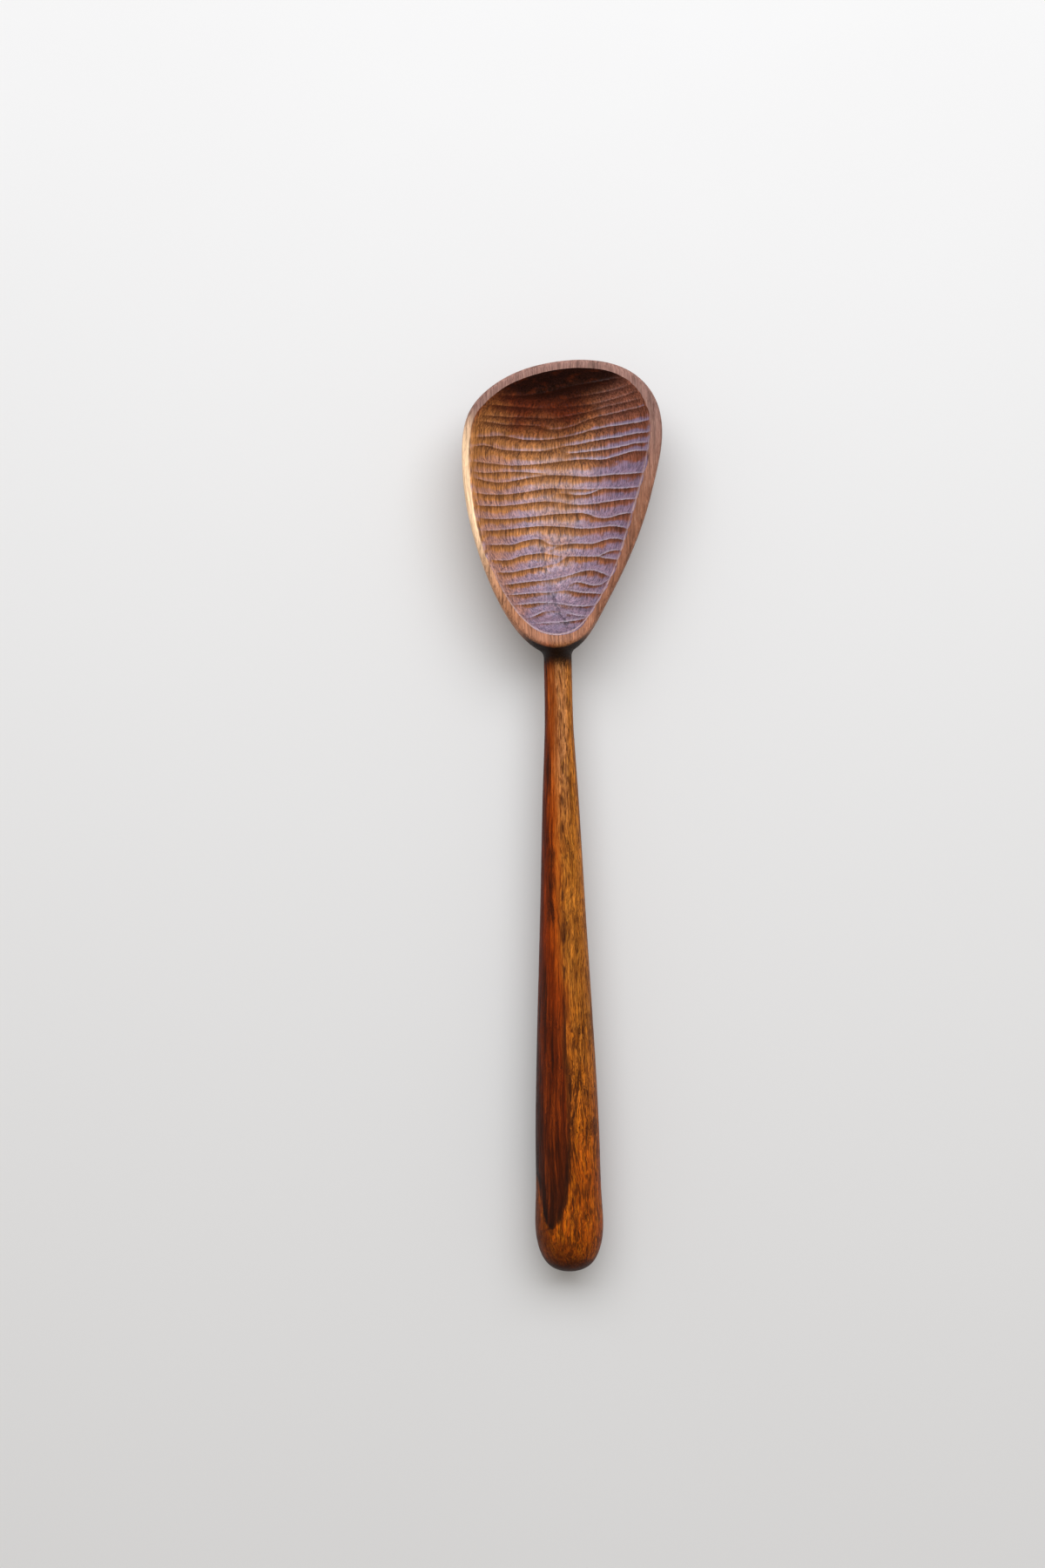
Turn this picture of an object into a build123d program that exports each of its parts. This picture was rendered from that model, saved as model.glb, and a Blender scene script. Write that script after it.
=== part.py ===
from build123d import *
import os

# A wooden cooking spoon, carved from one billet, lying on a table with its hollow up.
# Every length is in millimetres. +Y runs from the handle to the tip of the bowl and +Z is up.
# While the pieces of the shape are made, the handle's axis is at X = 0 and the rim's heel at Y = 0.

# Bowl, seen from above
bowl_length = 94.4
bowl_width = 65.9
rim_land = 3.4
rim_height = 25.0
rim_outer_round = 1.3
rim_inner_round = 0.4

# Bowl, seen from the side: a round belly, and above its widest level a straighter side wall
side_height = 5.0
belly_height = rim_height - side_height
belly_swell = 0.5
belly_roundness = 1.75
foot_size_share = 0.3
floor_thickness = 6.5
hollow_depth = rim_height - floor_thickness
hollow_roundness = 2.8

# Handle
handle_length = 210.0
neck_diameter = 9.4
neck_height = 13.0
neck_run_in = 12.0
neck_blend = 5.5
nose_length = 3.4
butt_diameter = 22.3

# Height above the rim to which the cutter of the hollow runs on
overrun = 1.5

# Rim from the tip round by the right shoulder: across and along, and the land's width there
rim_shares = (
    (0.061, 0.998, 0.78),
    (0.244, 0.993, 0.79),
    (0.390, 0.956, 0.84),
    (0.502, 0.873, 1.00),
    (0.542, 0.760, 1.15),
    (0.511, 0.609, 1.12),
    (0.434, 0.425, 1.16),
    (0.337, 0.269, 0.75),
    (0.223, 0.122, 0.72),
    (0.109, 0.025, 0.92),
    (0.000, 0.000, 1.03),
    (-0.118, 0.020, 1.00),
    (-0.241, 0.105, 0.82),
    (-0.363, 0.290, 0.64),
    (-0.438, 0.493, 0.80),
    (-0.458, 0.667, 0.86),
    (-0.411, 0.836, 0.88),
    (-0.307, 0.912, 0.77),
    (-0.131, 0.973, 0.79),
)

# Where the belly and the hollow draw in to, across and along
belly_centre_shares = (0.04, 0.52)
hollow_centre_shares = (0.03, 0.60)

# The nose that meets the neck: its reach to each side of the axis, and how it fades up and down
nose_reach_share = 0.25
nose_taper = 1.5

# Levels of the belly up to its widest height, then on up to the rim
belly_level_shares = (0.0, 0.03, 0.1, 0.2, 0.34, 0.5, 0.68, 0.85, 1.0)
upper_level_shares = (0.4, 0.75, 1.0)

# Sizes of the hollow's rings, from the floor up
hollow_ring_shares = (0.1, 0.2, 0.32, 0.45, 0.58, 0.7, 0.8, 0.88, 0.95, 1.0)

# Handle's side from the neck on: along, and how far it has swelled from the neck to the butt
handle_side_shares = (
    (0.08, 0.00),
    (0.22, 0.18),
    (0.40, 0.43),
    (0.56, 0.67),
    (0.70, 0.86),
    (0.80, 0.95),
    (0.885, 1.00),
)

# Rounding of the butt's end: along the handle, and out from its axis
butt_end_shares = ((0.962, 0.93), (0.990, 0.62))


def rim_spot(across_share, along_share):
    """A place in the plan of the bowl."""
    return Vector(across_share * bowl_width, along_share * bowl_length)


def rim_outline():
    """Points of the rim's outer edge, in plan."""
    return [rim_spot(across, along) for across, along, land in rim_shares]


def hollow_outline():
    """Points of the rim's inner edge, each set in square to the outer edge by the land's width."""
    outer = rim_outline()
    inner = []
    for number, (across, along, land) in enumerate(rim_shares):
        ahead = outer[(number + 1) % len(outer)]
        behind = outer[number - 1]
        inward = (behind - ahead).rotate(Axis.Z, 90).normalized()
        inner.append(outer[number] + inward * (rim_land * land))
    return inner


def level_ring(points, centre, size_share, height):
    """An outline drawn in towards its centre, as a flat face at one height."""
    lift = Vector(0, 0, height)
    placed = [centre + (point - centre) * size_share + lift for point in points]
    return make_face(Spline(*placed, periodic=True))


def belly_outline(height):
    """The rim's outline, drawn out at the heel into the nose where the height is near the neck's."""
    above_neck = (height - neck_height) / (rim_height - neck_height)
    nose = nose_length * max(0, 1 - above_neck**2) ** nose_taper
    points = []
    for across, along, land in rim_shares:
        at_heel = along < belly_centre_shares[1]
        weight = max(0, 1 - (across / nose_reach_share) ** 2) ** 2 if at_heel else 0
        points.append(rim_spot(across, along) - Vector(0, nose * weight))
    return points


def make_belly():
    """The bowl's outside as one solid, from its flat foot up to the rim."""
    centre = rim_spot(*belly_centre_shares)
    widest_share = 1 + 2 * belly_swell / bowl_width
    rings = []
    for level in belly_level_shares:
        spread = (1 - (1 - level) ** belly_roundness) ** (1 / belly_roundness)
        size_share = foot_size_share + (widest_share - foot_size_share) * spread
        height = level * belly_height
        rings.append(level_ring(belly_outline(height), centre, size_share, height))
    for level in upper_level_shares:
        size_share = widest_share + (1 - widest_share) * level**2
        height = belly_height + side_height * level
        rings.append(level_ring(belly_outline(height), centre, size_share, height))
    return loft(rings)


def make_hollow():
    """What the gouge takes out of the bowl: steep at the sides and flat at the floor."""
    outline = hollow_outline()
    centre = rim_spot(*hollow_centre_shares)
    top_share = (1 + overrun / hollow_depth) ** (1 / hollow_roundness)
    rings = []
    for size_share in (*hollow_ring_shares, top_share):
        depth = hollow_depth * (1 - size_share**hollow_roundness)
        rings.append(level_ring(outline, centre, size_share, rim_height - depth))
    return loft(rings)


def make_handle():
    """Neck, handle and round butt, turned about one axis that comes down to the table."""
    neck_radius = neck_diameter / 2
    butt_radius = butt_diameter / 2
    swelling = butt_radius - neck_radius
    side = []
    for along, swell in handle_side_shares:
        side.append((neck_radius + swelling * swell, -along * handle_length))
    for along, out in butt_end_shares:
        side.append((butt_radius * out, -along * handle_length))
    tip = (0, -handle_length)
    side.append(tip)
    with BuildSketch() as half:
        with BuildLine():
            Polyline(tip, (0, neck_run_in), (neck_radius, neck_run_in), side[0])
            Spline(*side, tangents=((0, -1), (-1, 0)))
        make_face()
    turned = revolve(half.sketch, Axis.Y)
    reach = handle_length * handle_side_shares[-1][0]
    sine = (neck_height - butt_radius) / reach
    slope = Vector(0, 1, 0).get_angle(Vector(0, (1 - sine**2) ** 0.5, sine))
    leaning = Rot(slope, 0, 0) * turned
    return Pos(0, 0, -leaning.bounding_box().min.Z) * leaning


def make_spoon():
    """The whole spoon: belly and handle as one, hollowed, with its edges broken."""
    belly = make_belly()
    handle = make_handle()
    body = belly + handle
    body = fillet(new_edges(belly, handle, combined=body), neck_blend)
    body = body - make_hollow()
    land = body.faces().sort_by(Axis.Z)[-1]
    body = fillet(land.outer_wire().edges(), rim_outer_round)
    land = body.faces().sort_by(Axis.Z)[-1]
    return fillet(land.inner_wires().edges(), rim_inner_round)


# The origin is on the table, under the middle of the spoon's length and width
spoon = make_spoon()
box = spoon.bounding_box()
spoon = Pos(-box.center().X, -box.center().Y, -box.min.Z) * spoon

os.makedirs("parts", exist_ok=True)
export_step(spoon, "parts/spoon.step")
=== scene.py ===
import math

import bpy
import numpy as np
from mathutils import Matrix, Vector
from mathutils.bvhtree import BVHTree


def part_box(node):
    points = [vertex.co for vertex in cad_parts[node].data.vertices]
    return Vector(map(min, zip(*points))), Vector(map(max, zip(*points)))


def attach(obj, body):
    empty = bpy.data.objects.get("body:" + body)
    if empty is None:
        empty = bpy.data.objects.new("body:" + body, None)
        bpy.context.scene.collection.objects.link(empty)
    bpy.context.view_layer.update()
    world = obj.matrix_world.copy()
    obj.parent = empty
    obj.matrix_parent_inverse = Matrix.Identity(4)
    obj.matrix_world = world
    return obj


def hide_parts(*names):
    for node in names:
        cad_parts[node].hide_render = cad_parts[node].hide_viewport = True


# A carved walnut cooking spoon on a pale table, seen from straight above.
# Lengths are in metres. The tables of places are in millimetres and are scaled where they are used.
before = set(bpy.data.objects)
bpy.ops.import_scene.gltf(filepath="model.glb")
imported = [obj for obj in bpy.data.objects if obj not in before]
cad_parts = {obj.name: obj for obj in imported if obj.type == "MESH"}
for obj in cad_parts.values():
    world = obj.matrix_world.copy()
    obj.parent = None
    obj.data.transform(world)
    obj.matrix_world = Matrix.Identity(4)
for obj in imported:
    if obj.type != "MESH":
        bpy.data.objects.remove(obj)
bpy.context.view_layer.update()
mm = 0.001

# Blank: the spoon before it is hollowed
blank_cell = 0.74 * mm
curve_share = 0.5
upward_facing = 0.05

# Hollow: where it is read from the model, and how finely it is carved
hollow_centre = Vector((-0.8 * mm, 114.1 * mm, 0))
sight_count = 720
rim_probe = 0.6 * mm
slope_probe = 0.05 * mm
floor_slack = 2 * mm
inside_share = 1.02
row_step = 0.2 * mm
column_count = 124
edge_column_share = 0.55
cutter_reach_share = 1.07
cutter_rise = 2.0 * mm
cutter_top = 6.0 * mm
narrowest_row = 3.0 * mm
sharpest_smooth_edge = math.radians(38)

# Gouge: its sweep, and the stroke width that it cuts at full depth
gouge_radius = 4.4 * mm
usual_stroke = 4.2 * mm
narrowest_stroke = 0.05 * mm
narrowest_lean = 0.1 * mm
steepest_cut = 2.2
ridge_rounding = 0.9 * mm
rounding_reach = 3
ridge_step = 0.25 * mm
far_away = 100 * mm

# How much shallower the strokes get up the walls, and the shares of the way out where they do
left_fade = 0.8
right_fade = 0.45
fading_shares = (0.9, 1.0)
last_shares = (0.98, 1.0)

# How far the painted shade under a ridge and the painted highlight on its crest reach
shade_reach = 1.6 * mm
crest_reach = 0.9 * mm

# Painted highlight along the hollow's crisp edge on its lit side: its width, and the middle of the stretch
# where it shows
edge_line_reach = 0.6 * mm
lit_edge_middle = math.radians(-50)
lit_edge_cosines = (0.1, 0.5)

# Ridges left between the strokes that come in from the right: across and along, in millimetres,
# from the tip down
right_ridges = (
    ((-6, 148.5), (5, 149.6), (15, 149.0), (25, 147.0)),
    ((-6, 142.6), (5, 144.6), (15, 145.6), (25, 146.2)),
    ((-6, 139.6), (0, 140.6), (5, 141.2), (12, 142.0), (18, 142.6), (24, 143.6)),
    ((-6, 137.2), (0, 138.2), (4, 138.6), (10, 138.9), (15, 139.6), (20, 140.4), (26, 141.4)),
    ((-6, 134.6), (0, 135.2), (4, 135.9), (10, 136.9), (15, 138.0), (22, 138.6), (28, 139.0)),
    ((-6, 131.2), (0, 131.6), (5, 132.8), (8, 134.0), (12, 135.1), (16, 135.5), (23, 136.2), (28, 136.3)),
    ((-6, 128.2), (1, 129.0), (6, 129.9), (9, 130.8), (15, 131.7), (22, 131.8), (28, 131.5)),
    ((-6, 125.4), (4, 126.4), (7, 126.8), (10, 127.4), (15, 127.9), (25, 128.2), (28, 127.6)),
    ((-6, 123.0), (3, 123.7), (9, 124.1), (15, 124.4), (20, 124.7), (25, 125.0), (28, 124.2)),
    ((-6, 120.6), (3, 121.4), (7, 121.7), (11, 121.3), (14, 121.0), (20, 122.0), (24, 122.6), (28, 121.4)),
    ((-6, 116.6), (2, 116.4), (6, 115.9), (11, 115.5), (16, 115.7), (19, 115.4), (25, 114.5), (28, 113.8)),
    ((-6, 112.2), (1, 111.9), (5, 111.6), (10, 111.4), (13, 111.3), (16, 110.9), (20, 110.2), (27, 109.3)),
    ((-6, 112.2), (0, 111.0), (3, 109.7), (8, 109.5), (11, 110.2), (13, 111.3), (16, 110.9), (27, 109.3)),
    ((-6, 107.2), (1, 106.9), (3, 106.4), (8, 106.1), (16, 106.4), (21, 106.2), (24, 105.5), (26, 105.0)),
    ((-6, 103.2), (5, 103.5), (8, 103.1), (10, 102.1), (12, 101.1), (15, 100.6), (20, 101.4), (25, 100.2)),
    ((-6, 99.2), (0, 99.0), (2, 98.6), (6, 98.0), (11, 97.7), (16, 97.8), (19, 96.9),
     (20.5, 95.9), (23, 94.6)),
    ((-6, 92.0), (0, 92.8), (4, 93.0), (10.3, 92.3), (13, 93.1), (16, 93.4), (18.5, 92.8), (22, 90.5)),
    ((-6, 87.6), (1, 88.6), (4, 88.5), (12, 87.6), (14, 88.8), (16.5, 89.1), (21, 88.0)),
    ((-6, 87.6), (1, 88.6), (4, 88.5), (10, 88.1), (12, 87.6), (13, 86.8), (15, 86.4),
     (17, 85.6), (20, 84.6)),
    ((-6, 80.6), (0, 81.5), (3, 82.3), (6, 83.1), (9, 83.2), (11, 82.6), (13, 81.3), (17, 78.6)),
    ((-6, 77.4), (-1, 77.6), (1, 78.6), (3, 79.3), (5, 79.4), (7, 78.6), (9, 77.6), (12, 77.4), (16, 80.0)),
    ((-6, 76.0), (-2, 76.8), (0, 77.0), (3, 76.2), (6, 75.4), (9, 75.0), (13, 74.0)),
    ((-6, 72.6), (-1, 71.8), (2, 71.1), (5, 70.7), (8, 70.4), (13, 71.0)),
    ((-6, 68.6), (0, 68.8), (4, 67.4), (8, 66.8), (12, 67.0)),
    ((-6, 65.3), (0, 65.6), (4, 65.9), (8, 66.6), (12, 67.0)),
    ((-6, 60.2), (12, 60.2)),
)

# Ridges between the strokes that come in from the left
left_ridges = (
    ((-26, 143.0), (-15, 145.5), (-5, 148.4), (3, 149.4)),
    ((-27, 140.5), (-20, 141.0), (-12, 141.5), (-5, 142.5), (3, 144.2)),
    ((-27, 138.0), (-14, 138.2), (-8, 138.0), (-3, 138.3), (3, 139.4)),
    ((-28, 134.4), (-20, 135.0), (-8, 135.2), (-3, 135.0), (3, 135.8)),
    ((-29, 132.4), (-24, 132.9), (-20, 132.6), (-10, 132.9), (-6, 132.4), (-4, 131.5), (3, 132.2)),
    ((-30, 127.0), (-26, 127.9), (-23, 128.6), (-20, 129.1), (-17, 128.8), (-13, 128.2),
     (-4, 128.3), (3, 129.3)),
    ((-31, 123.2), (-29, 124.2), (-27, 125.0), (-25, 125.4), (-22, 124.8), (-19, 124.5),
     (-6, 124.6), (3, 126.0)),
    ((-31, 118.8), (-27, 119.4), (-15, 119.7), (-10, 120.2), (-5, 120.6), (3, 121.4)),
    ((-31, 115.6), (-26, 116.0), (-20, 117.2), (-15, 117.6), (-8, 117.4), (-5, 116.9),
     (-2, 116.6), (3, 116.4)),
    ((-30, 113.6), (-22, 113.3), (-18, 114.0), (-14, 115.0), (-10, 115.9), (-5, 116.5),
     (-2, 116.6), (3, 116.4)),
    ((-30, 108.6), (-26, 108.8), (-21, 109.3), (-15, 110.3), (-10, 111.3), (-6, 112.0),
     (-2, 112.2), (3, 111.8)),
    ((-30, 104.3), (-20, 105.6), (-15, 106.5), (-10, 107.4), (-5, 107.8), (0, 107.9), (3, 106.9)),
    ((-29, 100.2), (-24, 100.6), (-15, 101.8), (-10, 102.5), (-5, 103.1), (0, 103.4), (3, 103.4)),
    ((-28, 96.0), (-25, 96.4), (-20, 97.4), (-15, 98.3), (-10, 99.1), (-5, 99.3), (3, 98.5)),
    ((-27, 91.2), (-20, 92.2), (-17, 92.3), (-15, 93.4), (-12, 94.3), (-9, 94.9), (-7, 94.6),
     (-4, 93.2), (3, 93.0)),
    ((-26, 86.2), (-22, 86.5), (-18, 86.9), (-15, 88.6), (-10, 89.6), (-6, 90.1), (-2, 90.1), (3, 88.6)),
    ((-24, 82.0), (-17, 82.8), (-14, 83.8), (-10, 84.7), (-7, 85.2), (-4, 84.8), (-1, 83.8), (3, 82.4)),
    ((-23, 77.6), (-19, 78.3), (-14, 79.4), (-10, 80.0), (-5, 80.6), (-2, 81.0), (3, 82.2)),
    ((-21, 74.3), (-16, 75.0), (-12, 75.6), (-8, 76.0), (-4, 76.1), (3, 76.4)),
    ((-19, 70.9), (-14, 71.6), (-9, 72.4), (-3, 72.5), (3, 71.2)),
    ((-16, 66.2), (-11, 67.3), (-8, 69.0), (-5, 69.9), (-2, 70.0), (3, 68.4)),
    ((-14, 64.6), (-8, 65.1), (-4, 65.3), (3, 65.8)),
    ((-14, 60.2), (3, 60.2)),
)

# Where the strokes from each side run out
left_run_out = (-4 * mm, 4 * mm)
right_run_out = (-9 * mm, -1 * mm)

# Soft edge on the hollow's left side: how far it is rolled, and between which directions from the centre
soft_roll = 2.4 * mm
soft_middle = math.radians(185)
soft_spread = math.radians(62)
full_soft_share = 0.6
soft_lift = 0.012 * mm

# Figure of the wood. All its places are in millimetres.
# Where the heartwood starts on the handle: along and across
heartwood_edge = (
    (-150, -16), (-138, -12), (-136, -8.4), (-132, -5.8), (-127, -4.1), (-120, -2.7), (-110, -1.9),
    (-100, -1.5), (-90, -1.9), (-82, -2.8), (-75, -3.0), (-62, -2.9), (-57, -3.6), (-50, -5.0),
    (0, -5.2), (40, -5.7), (60, -6.2),
)

# Left edge of the heartwood's dark tongue near the butt: along and across
tongue_left_edge = (
    (-150, -8), (-138, -9.3), (-134, -11.0), (-130, -12.0), (-122, -13.0), (-112, -16), (60, -16),
)

# Stretch of the spoon that both edges cover, and the places across it that they can take
edge_stretch = (-150, 60)
edge_span = (-20, 4)

# Dark smudges on the handle: middle, and reach to each side
handle_smudges = (
    ((-6.2, -13), (1.9, 5)), ((-6.4, -21), (2.2, 5)), ((-7.0, -31), (1.7, 8)), ((-2.8, -3), (0.8, 3)),
    ((-2.6, 6), (0.8, 2.5)), ((-3.1, -38.5), (1.3, 4.5)), ((-9.5, -60), (1.4, 14)), ((-6.6, 15), (1.2, 9)),
    ((2.4, -132.3), (1.1, 2.2)), ((-2.0, -132.1), (0.8, 1.5)), ((4.6, -131.2), (0.9, 2.0)),
    ((2.0, -123.0), (0.6, 5.5)), ((0.7, -127.0), (0.5, 4.0)), ((3.4, -110.0), (0.6, 5.5)),
    ((5.2, -103.0), (2.6, 4.4)), ((3.0, -91.0), (1.5, 4.0)), ((1.0, -85.5), (1.9, 3.0)),
    ((1.6, -70.5), (1.5, 3.0)),
)

# How strongly the golden wood curls along the handle: along, and a share of the strongest curl
curly_stretches = (
    (-155, 1), (-147, 0.9), (-141, 0.3), (-134, 0.7), (-131, 0.6), (-127, 0.1), (-108, 0.1), (-104, 0.8),
    (-100, 0.7), (-96, 0.1), (-90, 0.3), (-87, 0.9), (-83, 0.8), (-79, 0.1), (-75, 0.1), (-71, 0.9),
    (-66, 0.1), (-40, 0.1), (-32, 0.6), (-25, 0.1), (-13, 0.1), (-8, 0.5), (-3, 0.1), (60, 0.1),
)
curl_stretch = (-155, 60)

# Fine dark seam down the hollow: along and across
seam_course = (
    (60, 1.5), (65.3, 0.1), (67.9, -1.6), (73.8, -3.7), (79.7, -5.0), (87.3, -6.7), (98, -7.9), (112, -8.2),
)
seam_stretch = (60, 112)
seam_span = (-10, 2)


def step_between(value, low, high):
    """From 0 at low to 1 at high, with a smooth start and end."""
    share = np.clip((value - low) / (high - low), 0, 1)
    return share * share * (3 - 2 * share)


class Hollow:
    """The bowl's hollow as the model holds it: a depth, a roundness and the rim's distance each way."""

    def __init__(self, node):
        mesh = node.data
        spots = [vertex.co for vertex in mesh.vertices]
        tree = BVHTree.FromPolygons(spots, [list(face.vertices) for face in mesh.polygons])
        self.rim = max(spot.z for spot in spots)
        down = Vector((0, 0, -1))
        floor = tree.ray_cast(hollow_centre + Vector((0, 0, 2 * self.rim)), down)[0].z
        self.depth = self.rim - floor
        self.turns = np.linspace(-math.pi, math.pi, sight_count + 1)
        near_rim = self.sights(tree, rim_probe)
        half_way = self.sights(tree, self.depth / 2)
        first_guess = math.log(0.5) / math.log(float(np.mean(half_way / near_rim)))
        rim_share = (1 - rim_probe / self.depth) ** (1 / first_guess)
        self.reaches = near_rim / rim_share
        self.roundness = math.log(0.5) / math.log(float(np.mean(half_way / self.reaches)))

    def sights(self, tree, drop):
        """How far the wall is from the centre in each direction, at a drop below the rim."""
        eye = Vector((hollow_centre.x, hollow_centre.y, self.rim - drop))
        found = []
        for turn in self.turns:
            hit = tree.ray_cast(eye, Vector((math.cos(turn), math.sin(turn), 0)))
            found.append(hit[3])
        return np.array(found)

    def share(self, x, y):
        """How far out a place is: 0 at the centre, 1 at the rim's inner edge."""
        across = x - hollow_centre.x
        along = y - hollow_centre.y
        turn = np.arctan2(along, across)
        return np.hypot(across, along) / np.interp(turn, self.turns, self.reaches)

    def height(self, x, y):
        """Height of the smooth hollow; past the rim it goes on rising."""
        return self.rim - self.depth * (1 - self.share(x, y) ** self.roundness)


def even_lines(ridges, xs):
    """Each ridge's y at every x, with its corners rounded and no ridge past its neighbour."""
    step = xs[1] - xs[0]
    reach = int(rounding_reach * ridge_rounding / step)
    weights = np.exp(-0.5 * (np.arange(-reach, reach + 1) * step / ridge_rounding) ** 2)
    weights /= weights.sum()
    lines = []
    for points in ridges:
        places, heights = np.array(points).T * mm
        line = np.interp(xs, places, heights)
        lines.append(np.convolve(np.pad(line, reach, mode="edge"), weights, mode="valid"))
    return np.minimum.accumulate(np.array(lines), axis=0)


def scallops(ridges, x, y):
    """How deep the gouge has cut below the ridges, and how far each place is under and over a ridge."""
    xs = np.arange(x.min() - mm, x.max() + mm, ridge_step)
    lines = even_lines(ridges, xs)
    depth = np.zeros_like(x)
    under = np.full_like(x, far_away)
    over = np.full_like(x, far_away)
    for upper, lower in zip(lines[:-1], lines[1:]):
        above = np.interp(x, xs, upper) - y
        below = y - np.interp(x, xs, lower)
        width = np.maximum(above + below, narrowest_stroke)
        cut = above * below / (2 * gouge_radius) * np.minimum(usual_stroke / width, 1)
        inside = (above >= 0) & (below >= 0)
        depth = np.where(inside, np.maximum(depth, cut), depth)
        under = np.where(inside, above, under)
        over = np.where(inside, below, over)
    return depth, under, over


def strokes(hollow, x, y):
    """Depth of the gouge's strokes under the smooth hollow, and how near each place is to a ridge."""
    left = scallops(left_ridges, x, y)
    right = scallops(right_ridges, x, y)
    share = hollow.share(x, y)
    fading = step_between(share, *fading_shares)
    left_weight = (1 - step_between(x, *left_run_out)) * (1 - left_fade * fading)
    right_weight = step_between(x, *right_run_out) * (1 - right_fade * fading)
    from_left = left[0] * left_weight
    from_right = right[0] * right_weight
    chosen = from_left > from_right
    weight = np.where(chosen, left_weight, right_weight) * (1 - step_between(share, *last_shares))
    under = np.where(chosen, left[1], right[1])
    over = np.where(chosen, left[2], right[2])
    shade_line = np.clip(1 - under / shade_reach, 0, 1) * weight
    crest_line = np.clip(1 - over / crest_reach, 0, 1) * weight
    lean = (under - over) / np.maximum(under + over, narrowest_lean) * weight
    return np.maximum(from_left, from_right), shade_line, crest_line, lean


def hollow_surface(hollow, x, y):
    """Height of the carved hollow: strokes, a crisp edge on the right and a rolled one on the left."""
    small = slope_probe
    smooth = hollow.height(x, y)
    slope_x = (hollow.height(x + small, y) - hollow.height(x - small, y)) / (2 * small)
    slope_y = (hollow.height(x, y + small) - hollow.height(x, y - small)) / (2 * small)
    steepness = np.minimum(np.sqrt(1 + slope_x**2 + slope_y**2), steepest_cut)
    carved = smooth - strokes(hollow, x, y)[0] * steepness
    turn = np.mod(np.arctan2(y - hollow_centre.y, x - hollow_centre.x), 2 * math.pi)
    off_soft = np.abs(turn - soft_middle)
    softness = 1 - step_between(off_soft, full_soft_share * soft_spread, soft_spread)
    ceiling = hollow.rim + soft_lift
    gap = np.maximum(soft_roll - np.abs(carved - ceiling), 0) / soft_roll
    rolled = np.minimum(carved, ceiling) - gap * gap * soft_roll / 4
    crisp = np.minimum(carved, hollow.rim + cutter_rise)
    return crisp + (rolled - crisp) * softness


def mesh_object(name, vertices, faces):
    """An object from plain lists."""
    mesh = bpy.data.meshes.new(name)
    mesh.from_pydata(vertices, [], faces)
    mesh.update()
    made = bpy.data.objects.new(name, mesh)
    bpy.context.scene.collection.objects.link(made)
    return made


def evaluated_mesh(thing):
    """A copy of an object's mesh with its modifiers applied."""
    seen = thing.evaluated_get(bpy.context.evaluated_depsgraph_get())
    return bpy.data.meshes.new_from_object(seen)


def gouge_cut(hollow):
    """The closed solid that the gouge takes out: the carved surface below, a flat lid above."""
    reach = hollow.reaches * cutter_reach_share
    edge_y = hollow_centre.y + reach * np.sin(hollow.turns)
    edge_x = hollow_centre.x + reach * np.cos(hollow.turns)
    ys = np.arange(edge_y.min(), edge_y.max(), row_step)
    halves = []
    for side in (edge_x < hollow_centre.x, edge_x >= hollow_centre.x):
        order = np.argsort(edge_y[side])
        halves.append(np.interp(ys, edge_y[side][order], edge_x[side][order]))
    middle = (halves[0] + halves[1]) / 2
    half = np.maximum((halves[1] - halves[0]) / 2, narrowest_row)
    even = np.linspace(-1, 1, column_count)
    spread = even * edge_column_share + np.sin(even * math.pi / 2) * (1 - edge_column_share)
    x = middle[:, None] + half[:, None] * spread[None, :]
    y = np.repeat(ys[:, None], column_count, axis=1)
    z = hollow_surface(hollow, x, y)
    rows = len(ys)
    vertices = np.stack([x, y, z], axis=-1).reshape(-1, 3)
    number = np.arange(rows * column_count).reshape(rows, column_count)
    corners = (number[:-1, :-1], number[1:, :-1], number[1:, 1:], number[:-1, 1:])
    faces = np.stack(corners, axis=-1).reshape(-1, 4).tolist()
    border = np.concatenate((number[0, :-1], number[:-1, -1], number[-1, :0:-1], number[:0:-1, 0]))
    lid = vertices[border].copy()
    lid[:, 2] = hollow.rim + cutter_top
    first = len(vertices)
    count = len(border)
    for place in range(count):
        following = (place + 1) % count
        faces.append([int(border[place]), int(border[following]), first + following, first + place])
    faces.append([first + place for place in range(count)])
    return mesh_object("gouge_cut", np.concatenate((vertices, lid)).tolist(), faces)


def rounded_spot(spot, corners, normals):
    """Moves a place on a flat facet out to the curve that the facet's corner normals tell of."""
    a, b, c = corners
    whole = (b - a).cross(c - a)
    area = whole.length_squared
    if area == 0:
        return spot
    weight_a = (b - spot).cross(c - spot).dot(whole) / area
    weight_b = (c - spot).cross(a - spot).dot(whole) / area
    weights = (weight_a, weight_b, 1 - weight_a - weight_b)
    moved = Vector((0, 0, 0))
    for weight, corner, normal in zip(weights, corners, normals):
        moved += (spot - normal * (spot - corner).dot(normal)) * weight
    return spot + (moved - spot) * curve_share


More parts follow.
